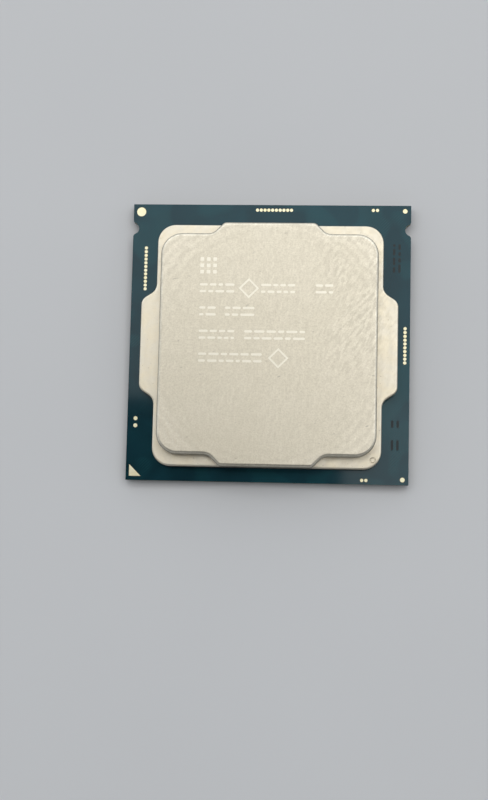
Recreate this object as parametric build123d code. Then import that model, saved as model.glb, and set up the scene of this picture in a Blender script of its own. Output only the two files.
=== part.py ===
from build123d import *
import os

# A desktop processor in a land grid array package, built as the stack of pieces that it is made of.
#
# Millimetres, +Z up. The origin is the centre of the square package outline, at the level of the outer faces
# of the capacitors on its underside, which is what it lies on. +Y points to the edge nearest the two key
# notches, and the first-contact triangle is in the -X, -Y corner of the upper face.
#
# From the bottom up: capacitors and contact lands, a laminate of core, resin films and copper planes under
# two coats of solder mask, the silicon die on its solder bumps and underfill, thermal paste, and a stepped
# metal lid held by a ring of adhesive. Nothing in it moves.

os.makedirs("parts", exist_ok=True)

# ---- Driving dimensions ----

# Package laminate
PACKAGE_SIDE = 37.5
LAMINATE_HEIGHT = 0.78  # from the land contact plane to the upper face
CORE_THICKNESS = 0.40
INNER_FILM_THICKNESS = 0.065
COPPER_THICKNESS = 0.02
MASK_THICKNESS = 0.025
LAND_STANDS_PROUD = 0.02
COPPER_INSET = 0.6  # copper planes stop short of the sawn edge
NOTCH_RADIUS = 0.78
NOTCH_Y = 15.4
NOTCH_MOUTH_RADIUS = 0.45

# Plated holes through the core
HOLE_RADIUS = 0.15
HOLE_ROWS = 13

# Contact lands on the underside
GRID_COUNT = 40
GRID_PITCH = 0.9144
VOID_COLUMNS = 24
VOID_ROWS = 16
LAND_WIDTH = 0.62
LAND_LENGTH = 0.76
LAND_CHAMFER = 0.14
LAND_COUNT = 1151
WINDOW_CLEARANCE = 0.03  # gap between a pad and the mask round it

# Lid
LID_TOP_ABOVE_LANDS = 4.38
LID_CENTRE_Y = -0.66
LID_HALF_WIDTH = 15.1
LID_HALF_LENGTH = 16.2
LID_CORNER_RADIUS = 2.4
EAR_REACH = 17.1
EAR_ROOT_Y = 7.3
EAR_TIP_Y = 6.0
EAR_ROOT_RADIUS = 1.5
EAR_TIP_RADIUS = 1.3
FLANGE_TOP_ABOVE_LAMINATE = 1.8
TABLE_HALF_WIDTH = 14.4
TABLE_HALF_LENGTH = 14.7
TABLE_CORNER_RADIUS = 2.8
TONGUE_ROOT_X = 7.55
TONGUE_TIP_X = 6.05
TONGUE_ROOT_RADIUS = 1.6
TONGUE_TIP_RADIUS = 0.7
TABLE_EDGE_RADIUS = 0.4
FLANGE_EDGE_RADIUS = 0.22
CAVITY_HALF_WIDTH = 12.3
CAVITY_HALF_LENGTH = 13.4
CAVITY_CORNER_RADIUS = 2.0
PUNCH_RADIUS = 0.34
PUNCH_DEPTH = 0.09
PUNCH_INSET = (1.1, 1.2)  # from the straight sides of the lid's corner

# Adhesive ring
ADHESIVE_THICKNESS = 0.12
ADHESIVE_INSET = 0.5
ADHESIVE_WIDTH = 1.8
ADHESIVE_VENT = 4.0

# Die stack
DIE_WIDTH = 9.2
DIE_LENGTH = 16.3
DIE_THICKNESS = 0.42
BUMP_HEIGHT = 0.08
BUMP_RADIUS = 0.2
BUMP_PITCH = 0.85
BUMP_COLUMNS = 10
BUMP_ROWS = 18
UNDERFILL_TOE = 0.9
UNDERFILL_CLIMB = 0.26
PASTE_THICKNESS = 0.06
PASTE_OVERHANG = 0.3
PASTE_CORNER_RADIUS = 0.9

# Capacitors on the underside
CAPACITOR_LENGTH = 1.6
CAPACITOR_WIDTH = 0.8
CAPACITOR_HEIGHT = 0.5
TERMINAL_LENGTH = 0.3
TERMINAL_SWELL = 0.012  # how far a terminal stands out past the ceramic
SOLDER_THICKNESS = 0.025
SOLDER_TOE = 0.2
SOLDER_CLIMB = 0.3
CAPACITOR_COLUMNS = 6
CAPACITOR_COLUMN_PITCH = 3.1
CAPACITOR_ROW_Y = (5.4, 2.7, 0.0, -2.7, -5.4)

# Bare test points beside the capacitors and beside the die
TEST_POINT_RADIUS = 0.3
LOWER_TEST_POINTS_X = 9.9
LOWER_TEST_POINT_ROWS = 6
LOWER_TEST_POINT_PITCH = 1.9
DIE_TEST_POINT_RADIUS = 0.17
DIE_TEST_POINTS_X = -8.2
DIE_TEST_POINT_COUNT = 4
DIE_TEST_POINT_PITCH = 0.8

# Gold marks and test pads on the upper face
FIDUCIAL_RADIUS = 0.62
FIDUCIAL_AT = (-17.7, 17.7)
SMALL_FIDUCIAL_RADIUS = 0.31
SMALL_FIDUCIALS_AT = ((17.95, 18.0), (17.95, -18.05))
TRIANGLE_LEG = 1.55
TRIANGLE_CORNER = (-18.3, -18.2)
ROW_PAD_RADIUS = 0.22
ROW_PAD_PITCH = 0.51
TOP_ROW_COUNT = 10
TOP_ROW_CENTRE = (0.38, 18.05)
LEFT_ROW_COUNT = 12
LEFT_ROW_CENTRE = (-16.9, 9.9)
RIGHT_ROW_COUNT = 10
RIGHT_ROW_CENTRE = (18.1, -0.23)
PAIR_PAD_RADIUS = 0.22
CLOSE_PAIR_PITCH = 0.55
CLOSE_PAIRS_AT = ((13.97, 18.1), (12.9, -18.2))
WIDE_PAIR_PAD_RADIUS = 0.27
WIDE_PAIR_PITCH = 0.95
WIDE_PAIR_AT = (-17.65, -10.97)

# ---- Levels ----

LAND_PLANE = CAPACITOR_HEIGHT
LOWER_MASK_Z = LAND_PLANE + LAND_STANDS_PROUD
LOWER_FILM_Z = LOWER_MASK_Z + MASK_THICKNESS
UPPER_FACE = LAND_PLANE + LAMINATE_HEIGHT
UPPER_MASK_Z = UPPER_FACE - MASK_THICKNESS
OUTER_FILM_THICKNESS = (UPPER_MASK_Z - LOWER_FILM_Z - CORE_THICKNESS) / 2 - INNER_FILM_THICKNESS
LOWER_INNER_FILM_Z = LOWER_FILM_Z + OUTER_FILM_THICKNESS
LOWER_COPPER_Z = LOWER_INNER_FILM_Z - COPPER_THICKNESS
CORE_Z = LOWER_INNER_FILM_Z + INNER_FILM_THICKNESS
UPPER_INNER_FILM_Z = CORE_Z + CORE_THICKNESS
UPPER_OUTER_FILM_Z = UPPER_INNER_FILM_Z + INNER_FILM_THICKNESS
LID_FOOT = UPPER_FACE + ADHESIVE_THICKNESS
FLANGE_TOP = UPPER_FACE + FLANGE_TOP_ABOVE_LAMINATE
LID_TOP = LAND_PLANE + LID_TOP_ABOVE_LANDS
DIE_Z = UPPER_FACE + BUMP_HEIGHT
DIE_TOP = DIE_Z + DIE_THICKNESS
PASTE_TOP = DIE_TOP + PASTE_THICKNESS


# ---- Helpers ----

BASE = (Align.CENTER, Align.CENTER, Align.MIN)
TOLERANCE = 1e-3

def slab(face, bottom, height):
    """A face drawn on the XY plane, raised to bottom and thickened upwards."""
    return extrude(Pos(0, 0, bottom) * face, height, dir=(0, 0, 1))


def rounded_face(corners, radii):
    """A closed outline of straight sides, each corner rounded by its own radius."""
    return make_face(FilletPolyline(*corners, radius=radii, close=True))


def group(shape, places):
    """Copies of one shape at several places, kept as separate solids."""
    return Compound(children=[Pos(*place) * shape for place in places])


def discs(places, radius, bottom, height):
    """Flat round pads."""
    return group(slab(Circle(radius), bottom, height), [(x, y, 0) for x, y in places])


def row_of(count, pitch, centre, vertical=False):
    """Centres of evenly spaced pads in a line."""
    offsets = [(i - (count - 1) / 2) * pitch for i in range(count)]
    return [
        (centre[0], centre[1] - offset) if vertical else (centre[0] + offset, centre[1])
        for offset in offsets
    ]


def save(shape, node):
    """Writes one sub-part."""
    export_step(shape, f"parts/{node}.step")


# ---- Laminate ----


def package_face(inset=0.0):
    """The square outline with its two half-round key notches, drawn in from the edge by inset."""
    half = PACKAGE_SIDE / 2
    face = Rectangle(PACKAGE_SIDE - 2 * inset, PACKAGE_SIDE - 2 * inset)
    for side in (-1, 1):
        face -= Pos(side * half, NOTCH_Y) * Circle(NOTCH_RADIUS + inset)
    mouth = [v for v in face.vertices() if abs(abs(v.Y) - half + inset) > TOLERANCE]
    return fillet(mouth, NOTCH_MOUTH_RADIUS)


def windowed_mask(bottom, windows):
    """A coat of solder mask with one opening for each pad."""
    face = package_face().face()
    openings = [window.outer_wire() for window in windows]
    return slab(Face(face.outer_wire(), openings), bottom, MASK_THICKNESS)


def round_windows(places, radius):
    """Mask openings round a set of round pads."""
    opening = Circle(radius + WINDOW_CLEARANCE).face()
    return [Pos(x, y) * opening for x, y in places]


def core_hole_places():
    """A square field of plated holes, on every third contact pitch."""
    pitch = 3 * GRID_PITCH
    middle = (HOLE_ROWS - 1) / 2
    return [
        ((i - middle) * pitch, (j - middle) * pitch)
        for i in range(HOLE_ROWS)
        for j in range(HOLE_ROWS)
    ]


def make_core():
    holes = [Pos(x, y) * Circle(HOLE_RADIUS).face() for x, y in core_hole_places()]
    face = Face(package_face().face().outer_wire(), [hole.outer_wire() for hole in holes])
    return slab(face, CORE_Z, CORE_THICKNESS)


def make_outer_film(bottom, pocket_z):
    """An outer resin film, with the pocket that its copper plane is bedded in."""
    film = slab(package_face(), bottom, OUTER_FILM_THICKNESS)
    return film - slab(package_face(COPPER_INSET), pocket_z, COPPER_THICKNESS)


# ---- Contact lands ----


def chamfered_pad(width, length, cut):
    """The outline of a contact land: a rectangle with its corners cut."""
    x = width / 2
    y = length / 2
    return Polygon(
        (x - cut, -y), (x, cut - y), (x, y - cut), (x - cut, y),
        (cut - x, y), (-x, y - cut), (-x, cut - y), (cut - x, -y),
        align=None,
    )  # fmt: skip


def has_land(column, row):
    """Whether a place in the grid carries a land. Columns run along +X and rows along +Y, from 0."""
    last = GRID_COUNT - 1
    margin_x = (GRID_COUNT - VOID_COLUMNS) // 2
    margin_y = (GRID_COUNT - VOID_ROWS) // 2
    in_void_columns = margin_x <= column <= last - margin_x
    if in_void_columns and margin_y <= row <= last - margin_y:
        return False
    from_side = min(column, last - column)
    from_end = min(row, last - row)
    first_corner = column < 4 and row < 4
    if from_side + from_end < (4 if first_corner else 3):
        return False
    notch_row = round(NOTCH_Y / GRID_PITCH + last / 2)
    if from_side == 0 and abs(row - notch_row) <= 1:
        return False
    seam_row = margin_y + 4 if column < GRID_COUNT // 2 else last - margin_y - 4
    if from_side < margin_x and row == seam_row:
        return False
    test_row = row == margin_y - 1 and abs(column - last / 2) < 9
    return not test_row or column == GRID_COUNT // 2 + 8


def land_places():
    middle = (GRID_COUNT - 1) / 2
    places = [
        ((column - middle) * GRID_PITCH, (row - middle) * GRID_PITCH)
        for column in range(GRID_COUNT)
        for row in range(GRID_COUNT)
        if has_land(column, row)
    ]
    assert len(places) == LAND_COUNT, len(places)
    return places


def make_lands():
    land = slab(chamfered_pad(LAND_WIDTH, LAND_LENGTH, LAND_CHAMFER), LAND_PLANE, LAND_STANDS_PROUD)
    return group(land, [(x, y, 0) for x, y in land_places()])


# ---- Capacitors ----


def capacitor_places():
    """Centre and heading of each capacitor: alternate rows lie along X and along Y."""
    places = []
    for index, y in enumerate(CAPACITOR_ROW_Y):
        heading = 90 * (index % 2)
        for x, _ in row_of(CAPACITOR_COLUMNS, CAPACITOR_COLUMN_PITCH, (0, y)):
            places.append(Pos(x, y) * Rot(0, 0, heading))
    return places


def at_capacitors(shapes):
    """The given shapes, drawn for a capacitor that lies along X at the origin, at every capacitor."""
    return Compound(children=[place * shape for place in capacitor_places() for shape in shapes])


def both_ends(shape):
    return [shape, Rot(0, 0, 180) * shape]


def make_capacitor_bodies():
    length = CAPACITOR_LENGTH - 2 * TERMINAL_LENGTH
    side = CAPACITOR_WIDTH - 2 * TERMINAL_SWELL
    height = CAPACITOR_HEIGHT - 2 * TERMINAL_SWELL
    return at_capacitors([slab(Rectangle(length, side), TERMINAL_SWELL, height)])


def terminal_block(height):
    middle = (CAPACITOR_LENGTH - TERMINAL_LENGTH) / 2
    return slab(Pos(middle, 0) * Rectangle(TERMINAL_LENGTH, CAPACITOR_WIDTH), 0, height)


def make_capacitor_terminals():
    block = terminal_block(CAPACITOR_HEIGHT)
    corners = block.edges().filter_by(Axis.Z)
    return at_capacitors(both_ends(fillet(corners, 0.05)))


def pad_outline():
    """The gold pad under one end of a capacitor, with room for the toe of the solder."""
    length = TERMINAL_LENGTH + SOLDER_TOE
    start = CAPACITOR_LENGTH / 2 - TERMINAL_LENGTH
    return Pos(start + length / 2, 0) * Rectangle(length, CAPACITOR_WIDTH)


def make_capacitor_pads():
    return at_capacitors(both_ends(slab(pad_outline(), LOWER_FILM_Z - COPPER_THICKNESS, COPPER_THICKNESS)))


def make_capacitor_solder():
    """A film of solder over each pad, with a wedge that climbs the end of the terminal."""
    end = CAPACITOR_LENGTH / 2
    start = end - TERMINAL_LENGTH
    pad_z = LOWER_FILM_Z - COPPER_THICKNESS
    side = Plane.XZ * Polygon(
        (start, LAND_PLANE), (end, LAND_PLANE), (end, LAND_PLANE - SOLDER_CLIMB),
        (end + SOLDER_TOE, pad_z), (start, pad_z),
        align=None,
    )  # fmt: skip
    joint = extrude(side, CAPACITOR_WIDTH / 2 - TERMINAL_SWELL, both=True)
    return at_capacitors(both_ends(joint))


def lower_test_point_places():
    places = []
    for side in (-1, 1):
        centre = (side * LOWER_TEST_POINTS_X, 0)
        places += row_of(LOWER_TEST_POINT_ROWS, LOWER_TEST_POINT_PITCH, centre, vertical=True)
    return places


def make_lower_mask():
    pad_window = offset(pad_outline(), WINDOW_CLEARANCE, kind=Kind.INTERSECTION).face()
    windows = [place * end for place in capacitor_places() for end in both_ends(pad_window)]
    windows += round_windows(lower_test_point_places(), TEST_POINT_RADIUS)
    return windowed_mask(LOWER_MASK_Z, windows)


# ---- Upper face ----

TOP_ROW = row_of(TOP_ROW_COUNT, ROW_PAD_PITCH, TOP_ROW_CENTRE)
LEFT_ROW = row_of(LEFT_ROW_COUNT, ROW_PAD_PITCH, LEFT_ROW_CENTRE, vertical=True)
RIGHT_ROW = row_of(RIGHT_ROW_COUNT, ROW_PAD_PITCH, RIGHT_ROW_CENTRE, vertical=True)
CLOSE_PAIRS = [place for centre in CLOSE_PAIRS_AT for place in row_of(2, CLOSE_PAIR_PITCH, centre)]
WIDE_PAIR = row_of(2, WIDE_PAIR_PITCH, WIDE_PAIR_AT, vertical=True)
DIE_TEST_POINTS = row_of(
    DIE_TEST_POINT_COUNT, DIE_TEST_POINT_PITCH, (DIE_TEST_POINTS_X, LID_CENTRE_Y), vertical=True
)

# node, centres, radius
ROUND_PADS = (
    ("corner_fiducial_large", [FIDUCIAL_AT], FIDUCIAL_RADIUS),
    ("corner_fiducials_small", list(SMALL_FIDUCIALS_AT), SMALL_FIDUCIAL_RADIUS),
    ("test_pads_back_row", TOP_ROW, ROW_PAD_RADIUS),
    ("test_pads_left_row", LEFT_ROW, ROW_PAD_RADIUS),
    ("test_pads_right_row", RIGHT_ROW, ROW_PAD_RADIUS),
    ("test_pad_close_pairs", CLOSE_PAIRS, PAIR_PAD_RADIUS),
    ("test_pad_wide_pair", WIDE_PAIR, WIDE_PAIR_PAD_RADIUS),
    ("die_side_test_points", DIE_TEST_POINTS, DIE_TEST_POINT_RADIUS),
)


def triangle_face(grow=0.0):
    """The right-angled first-contact mark, its sides moved outwards by grow."""
    x, y = TRIANGLE_CORNER
    reach = TRIANGLE_LEG + grow * (1 + 2**0.5)
    corner = (x - grow, y - grow)
    return Polygon(corner, (x + reach, corner[1]), (corner[0], y + reach), align=None)


def make_upper_mask():
    windows = [triangle_face(WINDOW_CLEARANCE).face()]
    for _, places, radius in ROUND_PADS:
        windows += round_windows(places, radius)
    return windowed_mask(UPPER_MASK_Z, windows)


# ---- Die stack ----


def bump_places():
    middle_x = (BUMP_COLUMNS - 1) / 2
    middle_y = (BUMP_ROWS - 1) / 2
    return [
        ((i - middle_x) * BUMP_PITCH, (j - middle_y) * BUMP_PITCH + LID_CENTRE_Y)
        for i in range(BUMP_COLUMNS)
        for j in range(BUMP_ROWS)
    ]


def die_outline(grow=0.0):
    return Pos(0, LID_CENTRE_Y) * Rectangle(DIE_WIDTH + 2 * grow, DIE_LENGTH + 2 * grow)


def make_underfill():
    """Resin between the bumps, with a sloping fillet that climbs the sides of the die."""
    foot = Pos(0, 0, UPPER_FACE) * fillet(die_outline(UNDERFILL_TOE).vertices(), UNDERFILL_TOE * 0.8)
    crest_z = DIE_Z + UNDERFILL_CLIMB
    crest = Pos(0, 0, crest_z) * fillet(die_outline(0.08).vertices(), 0.06)
    fill = loft([foot, crest]) - slab(die_outline(), DIE_Z, DIE_THICKNESS)
    bumps = [Pos(x, y, UPPER_FACE) * Cylinder(BUMP_RADIUS, BUMP_HEIGHT, align=BASE) for x, y in bump_places()]
    return fill - bumps


def make_bumps():
    bump = Cylinder(BUMP_RADIUS, BUMP_HEIGHT, align=BASE)
    return group(bump, [(x, y, UPPER_FACE) for x, y in bump_places()])


def make_paste():
    outline = die_outline(PASTE_OVERHANG)
    return slab(fillet(outline.vertices(), PASTE_CORNER_RADIUS), DIE_TOP, PASTE_THICKNESS)


# ---- Lid ----


def quarters(corners, radii):
    """Mirrors the outline of the +X, +Y quarter into all four, going round anticlockwise."""
    quarter = list(zip(corners, radii))
    back_left = [((-x, y), r) for (x, y), r in reversed(quarter)]
    front_left = [((-x, -y), r) for (x, y), r in quarter]
    front_right = [((x, -y), r) for (x, y), r in reversed(quarter)]
    full = quarter + back_left + front_left + front_right
    return rounded_face([corner for corner, _ in full], [radius for _, radius in full])


def flange_face():
    """The lid's full outline: a rounded body with an ear on each side for the socket's clamp."""
    return quarters(
        [(EAR_REACH, EAR_TIP_Y), (LID_HALF_WIDTH, EAR_ROOT_Y), (LID_HALF_WIDTH, LID_HALF_LENGTH)],
        [EAR_TIP_RADIUS, EAR_ROOT_RADIUS, LID_CORNER_RADIUS],
    )


def table_face():
    """The raised part's outline: a rounded square with a tongue at each end that reaches the lid's edge."""
    return quarters(
        [
            (TABLE_HALF_WIDTH, TABLE_HALF_LENGTH),
            (TONGUE_ROOT_X, TABLE_HALF_LENGTH),
            (TONGUE_TIP_X, LID_HALF_LENGTH),
        ],
        [TABLE_CORNER_RADIUS, TONGUE_ROOT_RADIUS, TONGUE_TIP_RADIUS],
    )


def rounded_rectangle(half_width, half_length, radius):
    return RectangleRounded(2 * half_width, 2 * half_length, radius)


def make_lid():
    flange = slab(flange_face(), LID_FOOT, FLANGE_TOP - LID_FOOT)
    flange = fillet(flange.edges().group_by(Axis.Z)[-1], FLANGE_EDGE_RADIUS)
    table = slab(table_face(), LID_FOOT, LID_TOP - LID_FOOT)
    table = fillet(table.edges().group_by(Axis.Z)[-1], TABLE_EDGE_RADIUS)
    lid = flange + table
    cavity = rounded_rectangle(CAVITY_HALF_WIDTH, CAVITY_HALF_LENGTH, CAVITY_CORNER_RADIUS)
    lid -= slab(cavity, LID_FOOT, PASTE_TOP - LID_FOOT)
    punch_x = LID_HALF_WIDTH - PUNCH_INSET[0]
    punch_y = PUNCH_INSET[1] - LID_HALF_LENGTH
    lid -= Pos(punch_x, punch_y, FLANGE_TOP) * Torus(PUNCH_RADIUS, PUNCH_DEPTH)
    return Pos(0, LID_CENTRE_Y) * lid


def make_adhesive():
    """A ring of sealant under the lid's rim, left open at the front so that the cavity can breathe."""
    outer_x = LID_HALF_WIDTH - ADHESIVE_INSET
    outer_y = LID_HALF_LENGTH - ADHESIVE_INSET
    ring = rounded_rectangle(outer_x, outer_y, LID_CORNER_RADIUS)
    ring -= rounded_rectangle(outer_x - ADHESIVE_WIDTH, outer_y - ADHESIVE_WIDTH, CAVITY_CORNER_RADIUS)
    ring -= Pos(0, -outer_y) * Rectangle(ADHESIVE_VENT, 3 * ADHESIVE_WIDTH)
    return Pos(0, LID_CENTRE_Y) * slab(ring, UPPER_FACE, ADHESIVE_THICKNESS)


# ---- Write every sub-part ----

save(make_lands(), "contact_lands")
save(make_capacitor_bodies(), "capacitor_bodies")
save(make_capacitor_terminals(), "capacitor_terminals")
save(make_capacitor_solder(), "capacitor_solder_joints")
save(make_capacitor_pads(), "capacitor_pads")
save(
    discs(lower_test_point_places(), TEST_POINT_RADIUS, LOWER_FILM_Z - COPPER_THICKNESS, COPPER_THICKNESS),
    "lower_test_points",
)

save(make_lower_mask(), "lower_solder_mask")
save(make_outer_film(LOWER_FILM_Z, LOWER_COPPER_Z), "lower_outer_film")
save(slab(package_face(COPPER_INSET), LOWER_COPPER_Z, COPPER_THICKNESS), "lower_copper_plane")
save(slab(package_face(), LOWER_INNER_FILM_Z, INNER_FILM_THICKNESS), "lower_inner_film")
save(make_core(), "substrate_core")
save(discs(core_hole_places(), HOLE_RADIUS, CORE_Z, CORE_THICKNESS), "core_plated_holes")
save(slab(package_face(), UPPER_INNER_FILM_Z, INNER_FILM_THICKNESS), "upper_inner_film")
save(slab(package_face(COPPER_INSET), UPPER_OUTER_FILM_Z, COPPER_THICKNESS), "upper_copper_plane")
save(make_outer_film(UPPER_OUTER_FILM_Z, UPPER_OUTER_FILM_Z), "upper_outer_film")
save(make_upper_mask(), "upper_solder_mask")

for node, places, radius in ROUND_PADS:
    save(discs(places, radius, UPPER_MASK_Z, COPPER_THICKNESS), node)
save(slab(triangle_face(), UPPER_MASK_Z, COPPER_THICKNESS), "first_contact_triangle")

save(make_bumps(), "die_solder_bumps")
save(make_underfill(), "die_underfill")
save(slab(die_outline(), DIE_Z, DIE_THICKNESS), "silicon_die")
save(make_paste(), "thermal_paste")
save(make_adhesive(), "lid_adhesive")
save(make_lid(), "heat_spreader_lid")
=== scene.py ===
import math
import random

import bmesh
import bpy
from mathutils import Matrix, Vector


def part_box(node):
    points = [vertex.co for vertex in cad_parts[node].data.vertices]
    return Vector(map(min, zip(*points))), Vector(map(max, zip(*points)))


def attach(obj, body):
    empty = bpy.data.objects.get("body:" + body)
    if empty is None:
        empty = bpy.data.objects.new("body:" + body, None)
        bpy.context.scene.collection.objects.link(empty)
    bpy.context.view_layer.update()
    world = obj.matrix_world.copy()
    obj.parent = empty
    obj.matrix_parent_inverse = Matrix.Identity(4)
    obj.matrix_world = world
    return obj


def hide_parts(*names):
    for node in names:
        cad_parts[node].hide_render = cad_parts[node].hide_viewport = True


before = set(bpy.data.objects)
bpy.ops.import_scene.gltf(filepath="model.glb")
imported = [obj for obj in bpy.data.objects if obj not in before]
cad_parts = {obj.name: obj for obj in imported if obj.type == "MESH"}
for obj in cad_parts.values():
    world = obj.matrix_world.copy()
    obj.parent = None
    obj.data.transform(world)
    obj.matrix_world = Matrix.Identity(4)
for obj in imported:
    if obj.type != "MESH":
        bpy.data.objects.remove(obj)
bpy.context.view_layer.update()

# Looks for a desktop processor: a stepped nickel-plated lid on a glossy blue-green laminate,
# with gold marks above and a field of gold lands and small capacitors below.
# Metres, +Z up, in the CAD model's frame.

MM = 0.001
MICRON = 0.000001

# ---- Places, from the frame ----

LID_LOW, LID_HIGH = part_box("heat_spreader_lid")
RING_LOW, RING_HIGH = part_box("lid_adhesive")
LAMINATE_TOP_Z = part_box("upper_solder_mask")[1].z
LID_CENTRE = (LID_LOW + LID_HIGH) / 2
FLANGE_TOP_Z = LAMINATE_TOP_Z + 1.8 * MM


# ---- Material building ----


class Graph:
    """A Principled material, with short calls for the nodes that feed it.

    Places and lengths in its nodes are millimetres, apart from a bump's depth in metres.
    """

    def __init__(self, name, metallic=0.0, roughness=0.5):
        self.material = bpy.data.materials.new(name)
        self.material.use_nodes = True
        self.tree = self.material.node_tree
        self.shader = self.tree.nodes["Principled BSDF"]
        self.set("Metallic", metallic)
        self.set("Roughness", roughness)
        place = self.node("ShaderNodeTexCoord").outputs["Object"]
        scale = self.node("ShaderNodeVectorMath", operation="SCALE")
        self.link(place, scale.inputs[0])
        scale.inputs["Scale"].default_value = 1 / MM
        self.place = scale.outputs[0]

    def node(self, kind, **settings):
        made = self.tree.nodes.new(kind)
        for key, value in settings.items():
            setattr(made, key, value)
        return made

    def link(self, source, target):
        self.tree.links.new(source, target)

    def put(self, value, target):
        """Feeds a socket from another node's output or from a plain value."""
        if isinstance(value, bpy.types.NodeSocket):
            self.link(value, target)
        else:
            target.default_value = value

    def set(self, name, value):
        self.put(value, self.shader.inputs[name])

    def warp(self, scale=(1, 1, 1), turn=0.0, shift=(0, 0, 0)):
        """The place for a pattern packed closer by scale, turned about Z, then shifted."""
        mapping = self.node("ShaderNodeMapping", vector_type="TEXTURE")
        self.link(self.place, mapping.inputs["Vector"])
        mapping.inputs["Location"].default_value = shift
        mapping.inputs["Rotation"].default_value = (0, 0, math.radians(turn))
        mapping.inputs["Scale"].default_value = [1 / part for part in scale]
        return mapping.outputs[0]

    def noise(self, scale, detail=3.0, rough=0.55, distortion=0.0, place=None):
        made = self.node("ShaderNodeTexNoise")
        self.link(place or self.place, made.inputs["Vector"])
        made.inputs["Scale"].default_value = scale
        made.inputs["Detail"].default_value = detail
        made.inputs["Roughness"].default_value = rough
        made.inputs["Distortion"].default_value = distortion
        return made.outputs["Fac"]

    def cells(self, scale):
        made = self.node("ShaderNodeTexVoronoi")
        self.link(self.place, made.inputs["Vector"])
        made.inputs["Scale"].default_value = scale
        return made.outputs["Distance"]

    def math(self, operation, first, second=0.0):
        made = self.node("ShaderNodeMath", operation=operation)
        for value, socket in zip((first, second), made.inputs):
            self.put(value, socket)
        return made.outputs[0]

    def add(self, first, second):
        return self.math("ADD", first, second)

    def times(self, first, second):
        return self.math("MULTIPLY", first, second)

    def reach(self, across, along):
        """The length of the arrow with these two parts."""
        squares = self.add(self.times(across, across), self.times(along, along))
        return self.math("SQRT", squares)

    def spread(self, value, low, high, to_low=0.0, to_high=1.0):
        """Maps low..high to to_low..to_high, with the ends held."""
        made = self.node("ShaderNodeMapRange", clamp=True)
        settings = (value, low, high, to_low, to_high)
        for setting, socket in zip(settings, made.inputs):
            self.put(setting, socket)
        return made.outputs[0]

    def mix(self, amount, first, second):
        """A colour between first and second."""
        made = self.node("ShaderNodeMix", data_type="RGBA")
        self.put(amount, made.inputs["Factor"])
        for colour, socket in ((first, made.inputs["A"]), (second, made.inputs["B"])):
            self.put((*colour, 1.0) if isinstance(colour, tuple) else colour, socket)
        return made.outputs["Result"]

    def axis(self, name):
        made = self.node("ShaderNodeSeparateXYZ")
        self.link(self.place, made.inputs[0])
        return made.outputs[name]

    def levelness(self):
        """1 where the true surface faces up, falling to 0 where it stands upright."""
        way = self.node("ShaderNodeNewGeometry").outputs["True Normal"]
        parts = self.node("ShaderNodeSeparateXYZ")
        self.link(way, parts.inputs[0])
        return parts.outputs["Z"]

    def bump(self, height, depth, over=None):
        """Relief of the given depth in metres, laid over an earlier bump."""
        made = self.node("ShaderNodeBump")
        made.inputs["Strength"].default_value = 1.0
        made.inputs["Distance"].default_value = depth
        self.link(height, made.inputs["Height"])
        if over is not None:
            self.link(over, made.inputs["Normal"])
        self.link(made.outputs[0], self.shader.inputs["Normal"])
        return made.outputs[0]


# ---- Materials ----


ARC_TURN = 5.5  # radians of a buffing arc's wave per millimetre outwards
ARCS_FROM = (13.5, 16.5)  # radii over which the arcs come in
CORNERS_FROM = (15.5, 17.5)  # radii over which the lid's corners turn pale
RUBBED_ACROSS = (4.0, 10.0)  # places in X over which the slanted rubbing comes in
RUBBED_ALONG = (-7.0, 2.0)  # and in Y


def lid_radius(g):
    """Distance in plan from the lid's middle, in millimetres."""
    return g.reach(g.axis("X"), g.math("SUBTRACT", g.axis("Y"), LID_CENTRE.y / MM))


def buffing(g, cloud, radius):
    """The lid's streaks: arcs near its corners, slanted on the right, upright elsewhere."""
    upright = g.noise(
        1.0, detail=4.0, rough=0.65, place=g.warp(scale=(2.6, 0.6, 1.0), turn=-6.0)
    )
    slanted = g.noise(
        1.0, detail=3.0, rough=0.5, place=g.warp(scale=(3.0, 0.75, 1.0), turn=-30.0)
    )
    arcs = g.times(g.math("SINE", g.times(radius, ARC_TURN)), g.spread(radius, *ARCS_FROM))
    rubbed = g.times(g.spread(g.axis("X"), *RUBBED_ACROSS), g.spread(cloud, 0.35, 0.55))
    rubbed = g.times(rubbed, g.spread(g.axis("Y"), *RUBBED_ALONG, 0.15, 1.0))
    rubbing = g.times(g.spread(slanted, 0.35, 0.65, -1.8, 1.8), rubbed)
    brushing = g.times(g.spread(upright, 0.3, 0.7, -0.7, 0.7), g.math("SUBTRACT", 1.0, rubbed))
    return g.add(g.add(rubbing, brushing), g.times(arcs, 0.6))


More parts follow.
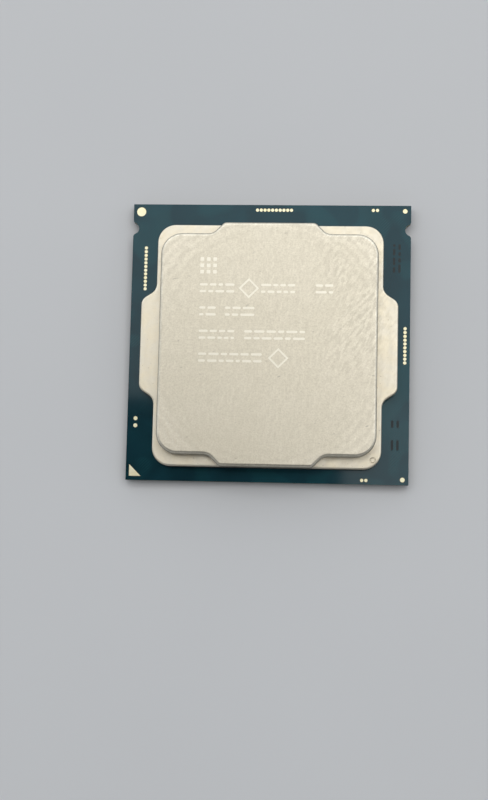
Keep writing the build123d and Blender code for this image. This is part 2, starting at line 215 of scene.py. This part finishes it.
def nickel():
    """Satin nickel plate, warm and mottled, with a paler pitted rim, and upright walls darkened as
    painted shade.
    """
    g = Graph("nickel_plate", metallic=1.0)
    cloud = g.noise(0.12, detail=4.0, rough=0.6, distortion=0.6)
    blotch = g.noise(0.55, detail=3.0, rough=0.6, distortion=0.3)
    mottle = g.noise(2.2, detail=5.0, rough=0.7)
    grain = g.noise(4.5, detail=3.0, rough=0.7)
    scuffs = g.noise(1.0, detail=2.0, rough=0.4, place=g.warp(scale=(0.9, 2.2, 1.0), turn=12.0))
    pits = g.spread(g.noise(3.2, detail=2.0, rough=0.5), 0.68, 0.76)
    radius = g.add(lid_radius(g), g.spread(blotch, 0.3, 0.7, -0.35, 0.35))
    corner = g.spread(g.add(radius, g.spread(cloud, 0.3, 0.7, -1.2, 1.2)), *CORNERS_FROM)
    streaks = buffing(g, cloud, radius)

    tone = g.mix(g.spread(cloud, 0.3, 0.7), (0.81, 0.745, 0.605), (0.87, 0.805, 0.67))
    layers = (
        (g.spread(blotch, 0.35, 0.7, 0.0, 0.3), (0.80, 0.755, 0.61)),
        (g.times(corner, 0.5), (0.99, 0.92, 0.78)),
        (g.spread(mottle, 0.38, 0.62, 0.0, 0.42), (0.66, 0.60, 0.48)),
        (g.spread(grain, 0.38, 0.62, 0.0, 0.30), (0.62, 0.57, 0.47)),
        (g.spread(grain, 0.60, 0.40, 0.0, 0.25), (1.0, 0.95, 0.82)),
        (g.spread(streaks, -0.7, 0.9, 0.0, 0.34), (0.60, 0.545, 0.44)),
        (g.spread(scuffs, 0.72, 0.80, 0.0, 0.5), (0.36, 0.33, 0.28)),
    )
    for amount, colour in layers:
        tone = g.mix(amount, tone, colour)
    rim = g.mix(g.spread(blotch, 0.4, 0.65), (0.90, 0.835, 0.70), (0.93, 0.84, 0.66))
    rim = g.mix(g.times(pits, 0.6), rim, (0.42, 0.37, 0.28))
    rim_top = FLANGE_TOP_Z / MM
    on_rim = g.spread(g.axis("Z"), rim_top + 0.05, rim_top + 0.15, 1.0, 0.0)
    tone = g.mix(g.times(on_rim, 0.8), tone, rim)
    # Painted shade: surfaces that stand upright are mixed towards a dark tone, on every side of the
    # lid.
    tone = g.mix(g.spread(g.levelness(), 0.45, 0.85, 0.55, 0.0), tone, (0.10, 0.094, 0.08))
    g.set("Base Color", tone)

    rough = g.spread(streaks, -1.0, 1.6, 0.36, 0.48)
    g.set("Roughness", g.add(rough, g.spread(mottle, 0.3, 0.7, -0.04, 0.06)))
    relief = g.bump(mottle, 5 * MICRON)
    g.bump(streaks, 3 * MICRON, over=relief)
    return g.material


def laser_mark():
    """Nickel etched pale by a laser, with a fine grain."""
    g = Graph("laser_mark", metallic=0.85, roughness=0.34)
    grain = g.noise(14.0, detail=3.0)
    g.set("Base Color", g.mix(grain, (0.92, 0.865, 0.74), (1.0, 0.955, 0.83)))
    g.bump(grain, 3 * MICRON)
    return g.material


def solder_mask(name, deep, pale):
    """Glossy blue-green lacquer over copper that shines through, with faintly paler tracks."""
    g = Graph(name, metallic=0.8)
    g.set("Coat Weight", 1.0)
    g.set("Coat Roughness", 0.06)
    g.set("Coat IOR", 1.4)
    cloud = g.noise(0.18, detail=3.0, distortion=0.4)
    grain = g.noise(9.0, detail=3.0)
    tracks = g.node(
        "ShaderNodeTexWave", wave_type="BANDS", bands_direction="X", wave_profile="SIN"
    )
    g.link(g.warp(turn=-45.0), tracks.inputs["Vector"])
    tracks.inputs["Scale"].default_value = 1.1
    tracks.inputs["Distortion"].default_value = 0.0
    where = g.spread(g.noise(0.22, detail=1.0, place=g.warp(shift=(-40, -12, 0))), 0.5, 0.56)
    lines = g.times(g.spread(tracks.outputs["Fac"], 0.45, 0.6), where)
    tone = g.mix(g.spread(cloud, 0.3, 0.7), deep, pale)
    tone = g.mix(g.times(lines, 0.3), tone, (0.010, 0.110, 0.125))
    g.set("Base Color", tone)
    g.set("Roughness", g.spread(cloud, 0.3, 0.7, 0.26, 0.36))
    relief = g.bump(lines, 4 * MICRON)
    g.bump(grain, 1.5 * MICRON, over=relief)
    return g.material


def printed_code():
    """Dark ink under the lacquer's gloss."""
    g = Graph("printed_code", roughness=0.4)
    grain = g.noise(10.0)
    g.set("Base Color", g.mix(grain, (0.003, 0.010, 0.013), (0.008, 0.020, 0.024)))
    return g.material


def gold(name, deep=(0.95, 0.87, 0.56), pale=(1.0, 0.96, 0.72)):
    """Gold plate with a fine grain and slight differences of tone."""
    g = Graph(name, metallic=1.0)
    cloud = g.noise(0.9, detail=3.0)
    grain = g.noise(12.0, detail=4.0, rough=0.7)
    g.set("Base Color", g.mix(g.spread(cloud, 0.3, 0.7), deep, pale))
    g.set("Roughness", g.spread(grain, 0.3, 0.7, 0.32, 0.46))
    g.bump(grain, 2 * MICRON)
    return g


LAND_PITCH = 0.9144  # millimetres
LAND_GRID_SHIFT = 100.0  # whole pitches, which keep the places in the grid positive
# X or Y, the mark's middle as a share of the pitch from a land's middle, and how narrow it is
WITNESS = (("X", 0.03, 5.0), ("Y", -0.06, 2.2))


def contact_gold():
    """Gold lands, each with the short witness mark that a socket's contact rubs into it."""
    g = gold("contact_gold", (0.88, 0.69, 0.34), (0.97, 0.82, 0.50))
    parts = []
    for name, middle, narrowness in WITNESS:
        cell = g.add(g.math("DIVIDE", g.axis(name), LAND_PITCH), LAND_GRID_SHIFT)
        off_centre = g.math("SUBTRACT", g.math("FRACT", cell), 0.5)
        parts.append(g.times(g.math("SUBTRACT", off_centre, middle), narrowness))
    wobble = g.times(g.noise(3.0), 0.35)
    mark = g.spread(g.add(g.reach(*parts), wobble), 0.42, 0.6, 1.0, 0.0)
    plain = g.shader.inputs["Base Color"].links[0].from_socket
    g.set("Base Color", g.mix(g.times(mark, 0.5), plain, (0.55, 0.38, 0.16)))
    return g


def copper():
    """Bare copper foil, slightly dulled."""
    g = Graph("copper_foil", metallic=1.0)
    cloud = g.noise(1.5, detail=4.0)
    g.set("Base Color", g.mix(cloud, (0.62, 0.28, 0.15), (0.90, 0.50, 0.34)))
    g.set("Roughness", g.spread(cloud, 0.3, 0.7, 0.30, 0.45))
    g.bump(cloud, 4 * MICRON)
    return g.material


def laminate(name, dark, light, layers):
    """Sawn resin: fine upright saw lines, and threads packed by layers in Z."""
    g = Graph(name, roughness=0.6)
    saw = g.noise(1.0, detail=3.0, place=g.warp(scale=(9.0, 9.0, 0.8)))
    threads = g.noise(1.0, detail=2.0, place=g.warp(scale=(2.0, 2.0, layers)))
    tone = g.mix(g.spread(threads, 0.35, 0.65), dark, light)
    tone = g.mix(g.spread(saw, 0.3, 0.8, 0.0, 0.4), tone, dark)
    g.set("Base Color", tone)
    g.set("Roughness", g.spread(saw, 0.3, 0.7, 0.5, 0.75))
    g.bump(saw, 8 * MICRON)
    return g.material


def sealant():
    """Black silicone with a slightly uneven satin skin."""
    g = Graph("sealant_black", roughness=0.42)
    skin = g.noise(1.4, detail=3.0)
    g.set("Base Color", g.mix(skin, (0.010, 0.010, 0.011), (0.030, 0.030, 0.032)))
    g.set("Roughness", g.spread(skin, 0.3, 0.7, 0.34, 0.52))
    g.bump(skin, 30 * MICRON)
    return g.material


def ceramic():
    """Fired capacitor ceramic: tan-brown and finely speckled."""
    g = Graph("capacitor_ceramic", roughness=0.45)
    cloud = g.noise(0.7, detail=2.0)
    speck = g.noise(18.0, detail=3.0)
    tone = g.mix(g.spread(cloud, 0.35, 0.65), (0.19, 0.115, 0.062), (0.30, 0.20, 0.125))
    tone = g.mix(g.spread(speck, 0.55, 0.75, 0.0, 0.5), tone, (0.42, 0.31, 0.22))
    g.set("Base Color", tone)
    g.set("Roughness", g.spread(speck, 0.3, 0.7, 0.36, 0.52))
    g.bump(speck, 4 * MICRON)
    return g.material


def tin(name, depth, low, high):
    """Tin or solder: pale grey metal with a crystalline ripple. low and high bound its roughness."""
    g = Graph(name, metallic=1.0)
    ripple = g.cells(7.0)
    grain = g.noise(10.0, detail=3.0)
    g.set("Base Color", g.mix(grain, (0.60, 0.60, 0.58), (0.80, 0.80, 0.79)))
    g.set("Roughness", g.spread(ripple, 0.1, 0.7, low, high))
    g.bump(ripple, depth)
    return g.material


def silicon():
    """Ground silicon: dark, with fine parallel grinding lines."""
    g = Graph("silicon", metallic=0.6)
    lines = g.noise(1.0, detail=3.0, place=g.warp(scale=(12.0, 0.3, 1.0), turn=20.0))
    g.set("Base Color", g.mix(lines, (0.10, 0.11, 0.13), (0.22, 0.23, 0.26)))
    g.set("Roughness", g.spread(lines, 0.3, 0.7, 0.12, 0.25))
    g.bump(lines, 1 * MICRON)
    return g.material


def cured_resin():
    """Dark epoxy with a wet-looking surface."""
    g = Graph("underfill_resin", roughness=0.25)
    cloud = g.noise(0.8, detail=3.0)
    g.set("Base Color", g.mix(cloud, (0.012, 0.012, 0.014), (0.04, 0.04, 0.045)))
    g.bump(cloud, 12 * MICRON)
    return g.material


def paste():
    """Grey heat-conducting paste, squeezed out unevenly."""
    g = Graph("thermal_paste", roughness=0.55)
    cloud = g.noise(1.1, detail=4.0, distortion=0.8)
    g.set("Base Color", g.mix(cloud, (0.30, 0.31, 0.32), (0.46, 0.47, 0.48)))
    g.set("Roughness", g.spread(cloud, 0.3, 0.7, 0.42, 0.62))
    g.bump(cloud, 25 * MICRON)
    return g.material


def studio_floor():
    """A plain pale sheet."""
    g = Graph("studio_floor", roughness=0.7)
    cloud = g.noise(0.02, detail=2.0)
    g.set("Base Color", g.mix(cloud, (0.66, 0.66, 0.67), (0.70, 0.70, 0.71)))
    return g.material


MARK_GOLD = gold("mark_gold").material
SOLDER = tin("solder", 8 * MICRON, 0.22, 0.38)
TIN = tin("capacitor_tin", 5 * MICRON, 0.32, 0.48)
CERAMIC = ceramic()
SEALANT = sealant()
RESIN = laminate("laminate_resin", (0.030, 0.035, 0.016), (0.085, 0.085, 0.035), 6.0)
CORE = laminate("laminate_core", (0.16, 0.13, 0.055), (0.34, 0.29, 0.15), 14.0)
COPPER = copper()

NODE_MATERIALS = {
    "heat_spreader_lid": nickel(),
    "thermal_paste": paste(),
    "silicon_die": silicon(),
    "die_solder_bumps": SOLDER,
    "die_underfill": cured_resin(),
    "upper_solder_mask": solder_mask(
        "upper_lacquer", (0.0008, 0.027, 0.040), (0.0015, 0.041, 0.058)
    ),
    "lower_solder_mask": solder_mask(
        "lower_lacquer", (0.0015, 0.034, 0.042), (0.003, 0.050, 0.060)
    ),
    "upper_outer_film": RESIN,
    "upper_inner_film": RESIN,
    "lower_inner_film": RESIN,
    "lower_outer_film": RESIN,
    "substrate_core": CORE,
    "upper_copper_plane": COPPER,
    "lower_copper_plane": COPPER,
    "core_plated_holes": COPPER,
    "contact_lands": contact_gold().material,
    "corner_fiducial_large": MARK_GOLD,
    "corner_fiducials_small": MARK_GOLD,
    "first_contact_triangle": MARK_GOLD,
    "test_pads_back_row": MARK_GOLD,
    "test_pads_left_row": MARK_GOLD,
    "test_pads_right_row": MARK_GOLD,
    "test_pad_close_pairs": MARK_GOLD,
    "test_pad_wide_pair": MARK_GOLD,
    "die_side_test_points": MARK_GOLD,
    "lower_test_points": MARK_GOLD,
    "capacitor_pads": MARK_GOLD,
    "lid_adhesive": SEALANT,
    "capacitor_bodies": CERAMIC,
    "capacitor_terminals": TIN,
    "capacitor_solder_joints": SOLDER,
}


def dress_cad_nodes():
    """Gives every CAD node its material."""
    for name, material in NODE_MATERIALS.items():
        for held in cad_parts[name].material_slots:
            held.material = material


# ---- Mesh building ----


SHARPEST_SMOOTH_ANGLE = math.radians(40)
BAR_CORNER_STEPS = 4
SQUARE_CORNER_SHARE = 0.2  # the corner radius of a rounded square, as a share of its width


def show(name, data):
    """Puts an object with this data in the scene."""
    made = bpy.data.objects.new(name, data)
    bpy.context.scene.collection.objects.link(made)
    return made


def piece(name, fill, material, slot, *replaced):
    """Makes an object from a mesh that fill builds, and hands it to the frame."""
    bm = bmesh.new()
    fill(bm)
    bmesh.ops.recalc_face_normals(bm, faces=bm.faces)
    mesh = bpy.data.meshes.new(name)
    bm.to_mesh(mesh)
    bm.free()
    mesh.shade_smooth()
    mesh.set_sharp_from_angle(angle=SHARPEST_SMOOTH_ANGLE)
    mesh.materials.append(material)
    made = show(name, mesh)
    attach(made, "root")
    if replaced:
        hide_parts(*replaced)


def skin(bm, ring, following):
    """Joins two rings of corners with a band of faces."""
    for i in range(len(ring)):
        j = (i + 1) % len(ring)
        bm.faces.new((ring[i], ring[j], following[j], following[i]))


def tube(bm, rings):
    """Joins rings in a row, and closes both ends."""
    for ring, following in zip(rings, rings[1:]):
        skin(bm, ring, following)
    bm.faces.new(rings[0])
    bm.faces.new(rings[-1])


def plate(bm, outline, bottom, height):
    """A thin closed plate over a flat outline."""
    low = [bm.verts.new((x, y, bottom)) for x, y in outline]
    high = [bm.verts.new((x, y, bottom + height)) for x, y in outline]
    tube(bm, [low, high])


def rounded_bar(centre, length, width, turn=0.0):
    """The outline of a bar with round ends, or of a rounded square if it is as long as wide."""
    radius = width / 2 if length > width * 1.05 else width * SQUARE_CORNER_SHARE
    along, across = length / 2 - radius, width / 2 - radius
    points = []
    for quarter, (sx, sy) in enumerate(((1, 1), (-1, 1), (-1, -1), (1, -1))):
        for step in range(BAR_CORNER_STEPS + 1):
            angle = math.pi / 2 * (quarter + step / BAR_CORNER_STEPS)
            x = sx * along + radius * math.cos(angle)
            y = sy * across + radius * math.sin(angle)
            points.append(Vector((x, y)))
    spin = Matrix.Rotation(turn, 2)
    return [tuple(Vector(centre) + spin @ point) for point in points]


# ---- Marks on the lid ----

MARK_SEED = 7
MARK_HEIGHT = 6 * MICRON
MARK_STROKE = 0.32 * MM
MARK_ROW_RISE = 0.45 * MM  # from a row's middle to each of its two lines of dashes
DASH_SHORTEST = 0.55 * MM
DASH_LONGEST = 1.5 * MM
DASH_GAP = 0.26 * MM
ROW_START_X = -9.1 * MM
# In millimetres: each row's place above the lid's middle in plan, and where its runs of dashes
# start and end along the row.
ROWS = (
    (7.3, ((0.0, 4.6), (8.1, 12.6), (15.3, 17.6))),
    (4.2, ((0.0, 2.2), (3.4, 7.3))),
    (1.1, ((0.0, 4.7), (6.0, 14.0))),
    (-1.95, ((0.0, 8.4),)),
)
DIAMONDS = ((-2.6, 7.3), (1.45, -1.95))  # millimetres from the lid's middle
DIAMOND_REACH = 1.35 * MM
EMBLEM = (-8.0, 10.3)  # millimetres from the lid's middle
EMBLEM_PITCH = 0.85 * MM
EMBLEM_DOT = 0.5 * MM


def on_lid(x, y):
    """A place in plan, from millimetres off the lid's middle."""
    return x * MM, LID_CENTRE.y + y * MM


def dash_run(bm, source, start, end, place, bottom):
    """A run of uneven dashes. place turns a distance along it into a centre and a turn."""
    at = start
    while end - at > DASH_SHORTEST / 2:
        length = min(source.uniform(DASH_SHORTEST, DASH_LONGEST), end - at)
        if end - at - length < DASH_SHORTEST:
            length = end - at
        centre, turn = place(at + length / 2)
        plate(bm, rounded_bar(centre, length, MARK_STROKE, turn), bottom, MARK_HEIGHT)
        at += length + DASH_GAP


def diamond(bm, centre, reach, bottom):
    """A plain square outline set on its corner, in one closed piece."""
    inner, top = reach - MARK_STROKE, bottom + MARK_HEIGHT
    rings = []
    for out, z in ((reach, bottom), (reach, top), (inner, top), (inner, bottom)):
        corners = ((out, 0), (0, out), (-out, 0), (0, -out))
        rings.append([bm.verts.new((centre[0] + x, centre[1] + y, z)) for x, y in corners])
    for ring, following in zip(rings, rings[1:] + rings[:1]):
        skin(bm, ring, following)


def fill_laser_marks(bm):
    """Double rows of dashes, two diamonds and a block of dots, which spell nothing."""
    source = random.Random(MARK_SEED)
    bottom = LID_HIGH.z
    for height, runs in ROWS:
        for start, end in runs:
            for rise in (-MARK_ROW_RISE, MARK_ROW_RISE):
                y = on_lid(0, height)[1] + rise
                dash_run(
                    bm, source, start * MM, end * MM,
                    lambda at: ((ROW_START_X + at, y), 0.0), bottom,
                )
    for spot in DIAMONDS:
        diamond(bm, on_lid(*spot), DIAMOND_REACH, bottom)
    middle_x, middle_y = on_lid(*EMBLEM)
    for column in (-1, 0, 1):
        for row in (-1, 0, 1):
            centre = (middle_x + column * EMBLEM_PITCH, middle_y + row * EMBLEM_PITCH)
            plate(bm, rounded_bar(centre, EMBLEM_DOT, EMBLEM_DOT), bottom, MARK_HEIGHT)


# ---- Printed codes on the laminate ----

CODE_SEED = 3
CODE_COLUMN_X = 16.9 * MM
CODE_RUNS = ((9.6, 13.5), (-11.2, -10.2), (-14.2, -12.8))  # starts and ends in Y, millimetres
CODE_RISE = 0.36 * MM


def fill_printed_codes(bm):
    """Upright double rows of dashes near the laminate's right edge."""
    source = random.Random(CODE_SEED)
    for start, end in CODE_RUNS:
        for side in (-CODE_RISE, CODE_RISE):
            x = CODE_COLUMN_X + side
            dash_run(
                bm, source, start * MM, end * MM,
                lambda at: ((x, at), math.pi / 2), LAMINATE_TOP_Z,
            )


# ---- Adhesive bead ----

BEAD_WIDTH = 1.8 * MM
BEAD_BULGE = 0.06 * MM
BEAD_SWAY = 0.09 * MM
BEAD_WAVES = ((0.31, 0.0), (0.83, 1.0))  # radians per step along the bead, and at its start
BEAD_CORNER = 2.2 * MM
BEAD_CORNER_STEPS = 8
BEAD_VENT = 4.0 * MM
BEAD_STEP = 0.35 * MM
# shares of the bead's height, and of its bulge there
BEAD_EDGE = ((0.0, 0.0), (0.25, 0.8), (0.5, 1.0), (0.75, 0.8), (1.0, 0.0))


def bead_path():
    """Points and outward directions round the ring's middle line, from one side of the vent."""
    half_x = RING_HIGH.x - BEAD_WIDTH / 2
    half_y = (RING_HIGH.y - RING_LOW.y) / 2 - BEAD_WIDTH / 2
    radius = BEAD_CORNER - BEAD_WIDTH / 2
    forward = Vector((0, -1))
    line = [(Vector((BEAD_VENT / 2, -half_y)), forward)]
    for sx, sy, first in ((1, -1, -90), (1, 1, 0), (-1, 1, 90), (-1, -1, 180)):
        middle = Vector((sx * (half_x - radius), sy * (half_y - radius)))
        for step in range(BEAD_CORNER_STEPS + 1):
            angle = math.radians(first + step * 90 / BEAD_CORNER_STEPS)
            out = Vector((math.cos(angle), math.sin(angle)))
            line.append((middle + out * radius, out))
    line.append((Vector((-BEAD_VENT / 2, -half_y)), forward))
    path = []
    for (a, out_a), (b, out_b) in zip(line, line[1:]):
        steps = max(1, round((b - a).length / BEAD_STEP))
        for step in range(steps):
            share = step / steps
            path.append((a.lerp(b, share), out_a.lerp(out_b, share).normalized()))
    path.append(line[-1])
    return path


def fill_bead(bm):
    """Sealant squeezed between laminate and lid, with an uneven bulging edge on both sides."""
    bottom, top = RING_LOW.z, RING_HIGH.z
    centre_y = (RING_LOW.y + RING_HIGH.y) / 2
    profile = [(-1, *spot) for spot in BEAD_EDGE] + [(1, *spot) for spot in reversed(BEAD_EDGE)]
    rings = []
    for index, (point, out) in enumerate(bead_path()):
        waves = [math.sin(index * rate + start) for rate, start in BEAD_WAVES]
        sway = BEAD_SWAY * sum(waves) / len(waves)
        ring = []
        for side, level, bulge in profile:
            reach = side * (BEAD_WIDTH / 2 - BEAD_BULGE + bulge * BEAD_BULGE) + sway
            x, y = point + out * reach
            ring.append(bm.verts.new((x, y + centre_y, bottom + level * (top - bottom))))
        rings.append(ring)
    tube(bm, rings)


# ---- Capacitors ----

WELD_DISTANCE = 0.1 * MICRON
CERAMIC_EDGE = 0.03 * MM
TERMINAL_EDGE = 0.07 * MM
JOINT_TOE = 0.2 * MM  # how far solder reaches out past a terminal
JOINT_FILM = 0.025 * MM  # its thickness under the terminal
JOINT_HOLLOW = 2.4  # how deeply its climbing face is hollowed
JOINT_CURVE_STEPS = 6
JOINT_LEVELS = (-1, -0.8, 0.8, 1)  # slices across a joint, in halves of its width
JOINT_END_FALL = 0.04 * MM  # how far its face falls back at the two end slices


def islands(node):
    """The lowest and highest corner of each separate solid in a CAD node."""
    bm = bmesh.new()
    bm.from_mesh(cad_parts[node].data)
    bmesh.ops.remove_doubles(bm, verts=bm.verts, dist=WELD_DISTANCE)
    left = set(bm.verts)
    boxes = []
    while left:
        found = [left.pop()]
        for vert in found:
            near = {edge.other_vert(vert) for edge in vert.link_edges} & left
            left -= near
            found.extend(near)
        low = Vector([min(vert.co[axis] for vert in found) for axis in range(3)])
        high = Vector([max(vert.co[axis] for vert in found) for axis in range(3)])
        boxes.append((low, high))
    bm.free()
    return boxes


def blocks(bm, node, radius, segments):
    """A box with rounded edges for each of a CAD node's solids."""
    for low, high in islands(node):
        place = Matrix.LocRotScale((low + high) / 2, None, high - low)
        made = bmesh.ops.create_cube(bm, size=1.0, matrix=place)
        edges = {edge for vert in made["verts"] for edge in vert.link_edges}
        bmesh.ops.bevel(
            bm, geom=list(edges), offset=radius, segments=segments, profile=0.5, affect="EDGES"
        )


def fill_bodies(bm):
    """The capacitors' ceramic blocks."""
    blocks(bm, "capacitor_bodies", CERAMIC_EDGE, segments=2)


def fill_terminals(bm):
    """The tinned ends, which are rounder."""
    blocks(bm, "capacitor_terminals", TERMINAL_EDGE, segments=3)


def joint_side(low, high, axis, forward):
    """Places along the axis and in Z round a joint seen from the side, its pad on top."""
    inner, outer = (low[axis], high[axis]) if forward > 0 else (high[axis], low[axis])
    wall = outer - forward * JOINT_TOE
    foot, film, crest = high.z, high.z - JOINT_FILM, low.z
    side = [(inner, foot), (inner, film), (wall, film), (wall, crest)]
    for step in range(1, JOINT_CURVE_STEPS + 1):
        share = step / JOINT_CURVE_STEPS
        fall = 1 - (1 - share) ** JOINT_HOLLOW
        side.append((wall + forward * JOINT_TOE * share, crest + (film - crest) * fall))
    side.append((outer, foot))
    return side


def fill_joints(bm):
    """Solder that climbs each terminal's end in a hollow curve."""
    bodies = [(low + high) / 2 for low, high in islands("capacitor_bodies")]
    for low, high in islands("capacitor_solder_joints"):
        centre = (low + high) / 2
        nearest = min(bodies, key=lambda body: (body - centre).length)
        way = centre - nearest
        axis = 0 if abs(way.x) > abs(way.y) else 1
        half = (high[1 - axis] - low[1 - axis]) / 2
        side = joint_side(low, high, axis, math.copysign(1, way[axis]))
        rings = []
        for level in JOINT_LEVELS:
            pull = JOINT_END_FALL * (abs(level) == 1)
            ring = []
            for distance, z in side:
                spot = Vector((0, 0, min(z + pull, high.z)))
                spot[axis] = distance
                spot[1 - axis] = centre[1 - axis] + level * half
                ring.append(bm.verts.new(spot))
            rings.append(ring)
        tube(bm, rings)


# ---- Studio ----

CAMERA_PLACE = Vector((9.09, -25.98, 176.72)) * MM
CAMERA_AIM = Vector((-3.15, -7.81, 1.28)) * MM
CAMERA_ROLL = math.radians(1.34)
CAMERA_LENS = 59.67  # millimetres
CAMERA_SENSOR = 36.0  # millimetres, along the longer side
CAMERA_SEES = (1 * MM, 5.0)

FLOOR_REACH = 1.5

WORLD_COLOUR = (0.90, 0.95, 1.0, 1.0)
# Each is a span of one part of the direction, and the strengths at the span's two ends.
WORLD_UPWARD = ((0.78, 0.93), (1.0, 0.01))
WORLD_BACKWARD = ((-0.5, 0.2), (0.02, 1.0))
WORLD_SKIRTING = ((0.42, 0.68), (0.5, 0.01))
WORLD_HORIZON = ((0.06, 0.18), (0.02, 1.0))

PANEL_HEIGHT = 0.6
PANEL_COLOUR = (1.0, 0.99, 0.96)
# name, low corner and high corner in plan, radiated power per square metre
PANELS = (
    ("back_panel", (-0.45, 0.055), (0.45, 0.55), 3.6),
    ("right_panel", (0.0135, -0.12), (0.45, 0.055), 4.4),
)


def facing(place, aim, roll):
    """A placement that looks from place to aim, with +Y as up, then rolls."""
    back = (place - aim).normalized()
    right = Vector((0, 1, 0)).cross(back).normalized()
    turn = Matrix((right, back.cross(right), back)).transposed() @ Matrix.Rotation(roll, 3, "Z")
    return Matrix.Translation(place) @ turn.to_4x4()


def add_camera():
    """The camera, high over the part and a little in front of it."""
    data = bpy.data.cameras.new("camera")
    data.lens = CAMERA_LENS
    data.sensor_width = CAMERA_SENSOR
    data.clip_start, data.clip_end = CAMERA_SEES
    camera = show("camera", data)
    camera.matrix_world = facing(CAMERA_PLACE, CAMERA_AIM, CAMERA_ROLL)
    bpy.context.scene.camera = camera


def add_panel(name, low, high, brightness):
    """A level light panel over the part, between two corners in plan."""
    data = bpy.data.lights.new(name, "AREA")
    data.shape = "RECTANGLE"
    data.size = high[0] - low[0]
    data.size_y = high[1] - low[1]
    data.energy = brightness * data.size * data.size_y
    data.color = PANEL_COLOUR
    light = show(name, data)
    light.location = ((low[0] + high[0]) / 2, (low[1] + high[1]) / 2, PANEL_HEIGHT)


def add_floor():
    """A plain square sheet under the part."""
    mesh = bpy.data.meshes.new("studio_floor")
    corners = ((-1, -1), (1, -1), (1, 1), (-1, 1))
    mesh.from_pydata([(x * FLOOR_REACH, y * FLOOR_REACH, 0) for x, y in corners], [], [(0, 1, 2, 3)])
    mesh.materials.append(studio_floor())
    show("studio_floor", mesh)


def add_world():
    """A room lit behind and beside the part, dark in front and overhead, with a low band of
    light all round that stops just above the horizon."""
    world = bpy.data.worlds.new("studio")
    world.use_nodes = True
    tree = world.node_tree
    heading = tree.nodes.new("ShaderNodeTexCoord")
    parts = tree.nodes.new("ShaderNodeSeparateXYZ")
    tree.links.new(heading.outputs["Generated"], parts.inputs[0])

    def ramp(axis, span, result):
        made = tree.nodes.new("ShaderNodeMapRange")
        tree.links.new(parts.outputs[axis], made.inputs["Value"])
        for value, target in zip((*span, *result), list(made.inputs)[1:5]):
            target.default_value = value
        return made.outputs[0]

    def combine(operation, first, second):
        made = tree.nodes.new("ShaderNodeMath")
        made.operation = operation
        tree.links.new(first, made.inputs[0])
        tree.links.new(second, made.inputs[1])
        return made.outputs[0]

    upper = combine("MULTIPLY", ramp("Z", *WORLD_UPWARD), ramp("Y", *WORLD_BACKWARD))
    skirting = combine("MULTIPLY", ramp("Z", *WORLD_SKIRTING), ramp("Z", *WORLD_HORIZON))
    background = tree.nodes["Background"]
    background.inputs["Color"].default_value = WORLD_COLOUR
    tree.links.new(combine("MAXIMUM", upper, skirting), background.inputs["Strength"])
    bpy.context.scene.world = world


# ---- Build ----

dress_cad_nodes()
piece("lid_laser_marks", fill_laser_marks, laser_mark(), "lid_nickel")
piece("laminate_printed_codes", fill_printed_codes, printed_code(), "solder_mask_upper")
piece("sealant_bead", fill_bead, SEALANT, "sealant_black", "lid_adhesive")
piece("ceramic_blocks", fill_bodies, CERAMIC, "capacitor_ceramic", "capacitor_bodies")
piece("tinned_ends", fill_terminals, TIN, "capacitor_tin", "capacitor_terminals")
piece("solder_fillets", fill_joints, SOLDER, "solder", "capacitor_solder_joints")

add_floor()
add_world()
for panel in PANELS:
    add_panel(*panel)
add_camera()
bpy.context.scene.view_settings.view_transform = "Standard"
